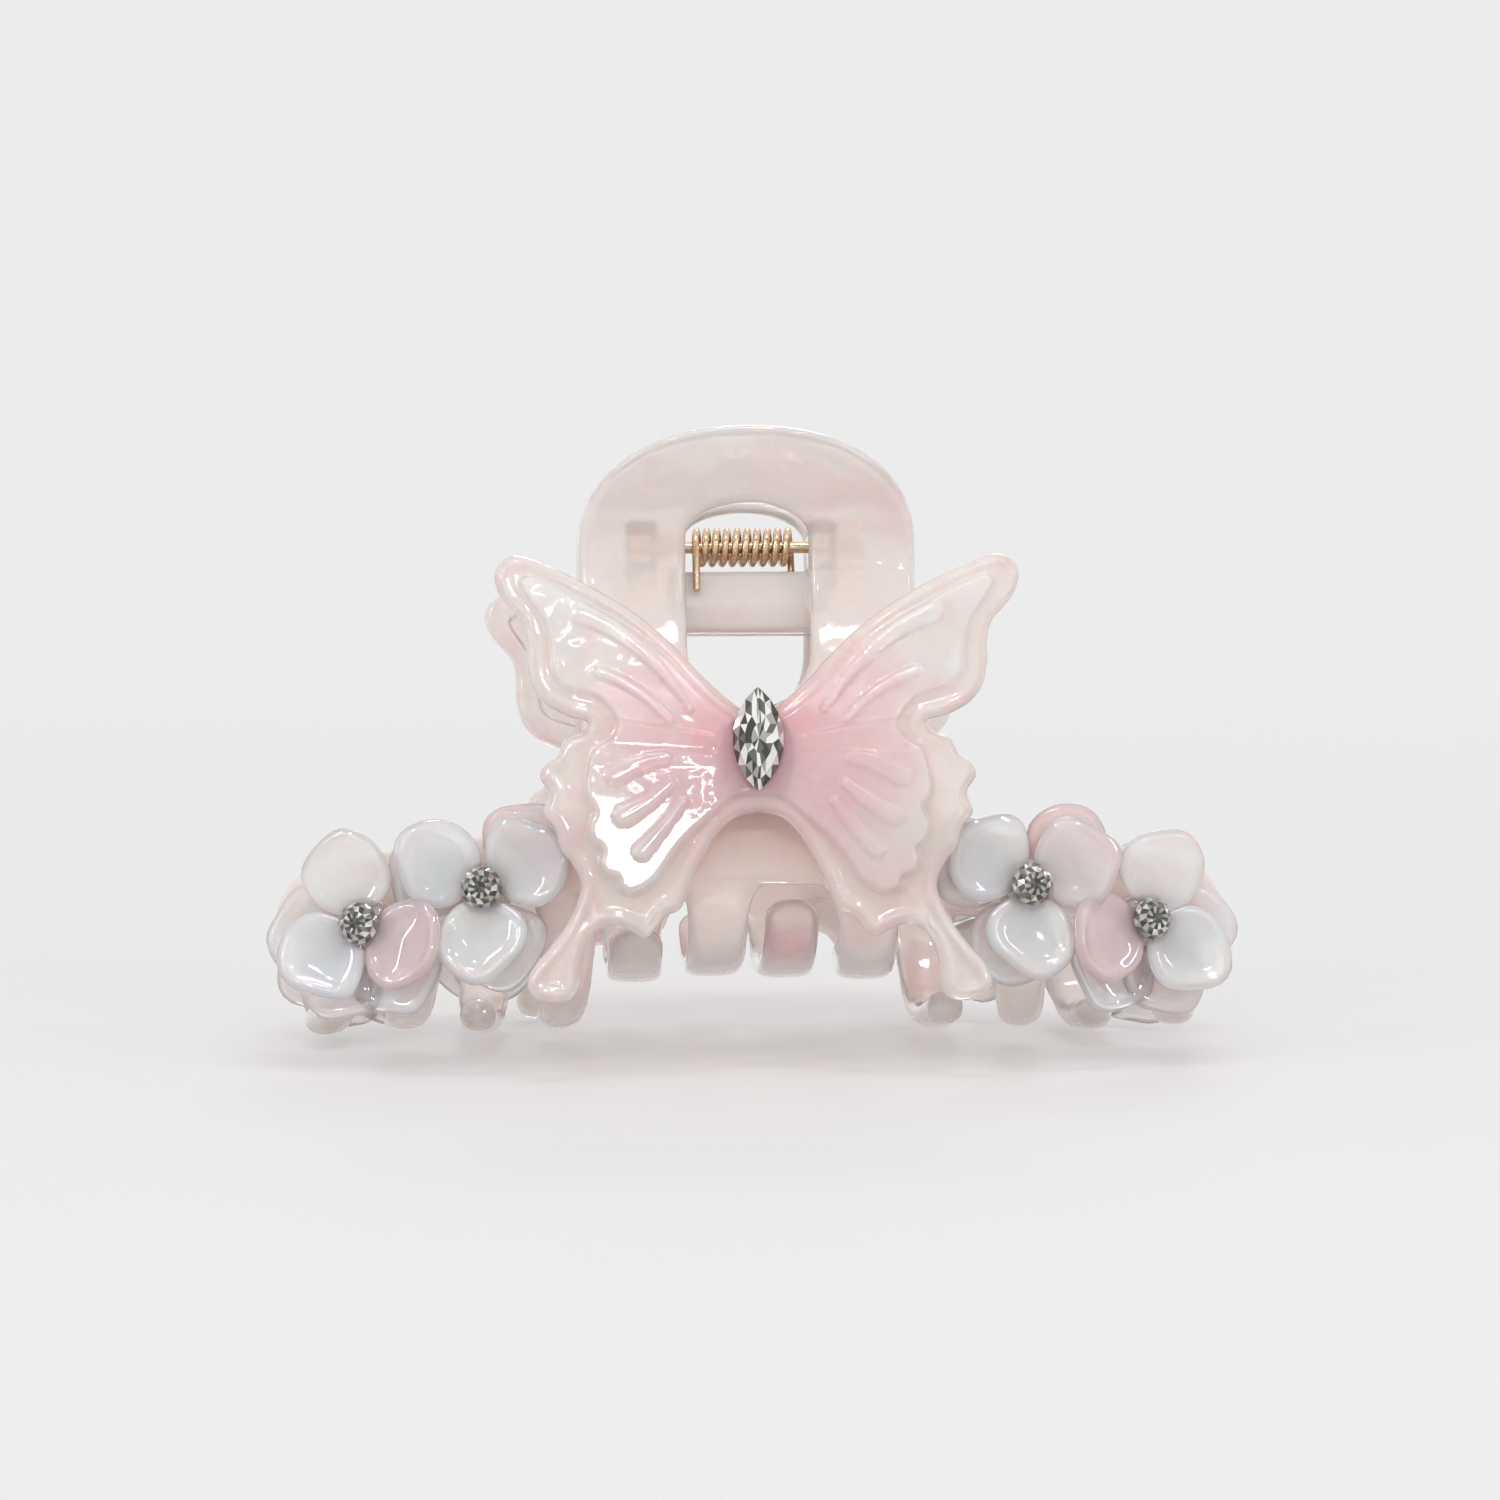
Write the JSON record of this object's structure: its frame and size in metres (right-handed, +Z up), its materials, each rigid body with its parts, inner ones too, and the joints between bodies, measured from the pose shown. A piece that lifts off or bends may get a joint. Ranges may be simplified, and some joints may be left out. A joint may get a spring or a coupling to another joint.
{
  "type": "claw hair clip",
  "caption": "Two-jaw claw hair clip in pearl acetate with a sprung hinge, curled teeth, a moulded butterfly and stone-set flowers on each jaw.",
  "frame": {"origin": "under the middle of the clip's box, on the surface it stands on", "axes": "+X along the hinge pin, -Y towards the front butterfly, +Z up; the clip leans back 10 degrees about X"},
  "size_m": [0.1124, 0.0646, 0.0744],
  "materials": {
    "jaw_acetate": "polished translucent blush acetate with pearl streaks",
    "butterfly_pearl": "polished pearlescent resin, rose at the body and white at the wing tips",
    "petal_pearl": "glossy iridescent pearl resin",
    "petal_blush": "glossy translucent blush resin",
    "navette_crystal": "foil-backed cut crystal",
    "round_crystal": "foil-backed cut crystal",
    "pin_metal": "rose-gold plated wire",
    "spring_metal": "rose-gold plated spring wire"
  },
  "bodies": {
    "rear_side": {"rear_jaw": "jaw_acetate", "rear_butterfly": "butterfly_pearl", "rear_butterfly_stone": "navette_crystal", "rear_left_outer_lower_petals": "petal_blush", "rear_left_outer_upper_petals": "petal_pearl", "rear_left_outer_rhinestone": "round_crystal", "rear_left_inner_lower_petals": "petal_blush", "rear_left_inner_upper_petals": "petal_pearl", "rear_left_inner_rhinestone": "round_crystal", "rear_right_inner_lower_petals": "petal_blush", "rear_right_inner_upper_petals": "petal_pearl", "rear_right_inner_rhinestone": "round_crystal", "rear_right_outer_lower_petals": "petal_blush", "rear_right_outer_upper_petals": "petal_pearl", "rear_right_outer_rhinestone": "round_crystal", "hinge_pin": "pin_metal", "torsion_spring": "spring_metal"},
    "front_side": {"front_jaw": "jaw_acetate", "front_butterfly": "butterfly_pearl", "front_butterfly_stone": "navette_crystal", "front_left_outer_lower_petals": "petal_blush", "front_left_outer_upper_petals": "petal_pearl", "front_left_outer_rhinestone": "round_crystal", "front_left_inner_lower_petals": "petal_blush", "front_left_inner_upper_petals": "petal_pearl", "front_left_inner_rhinestone": "round_crystal", "front_right_inner_lower_petals": "petal_blush", "front_right_inner_upper_petals": "petal_pearl", "front_right_inner_rhinestone": "round_crystal", "front_right_outer_lower_petals": "petal_blush", "front_right_outer_upper_petals": "petal_pearl", "front_right_outer_rhinestone": "round_crystal"}
  },
  "joints": [
    {"name": "jaw_hinge", "type": "hinge", "parent": "rear_side", "child": "front_side", "pos_m": [0, 0.00484, 0.05881], "axis": [-1, 0, 0], "range_deg": [0, 60], "stiffness_Nm_per_rad": 0.12, "springref_deg": -57.3, "deforming": ["torsion_spring"]}
  ]
}
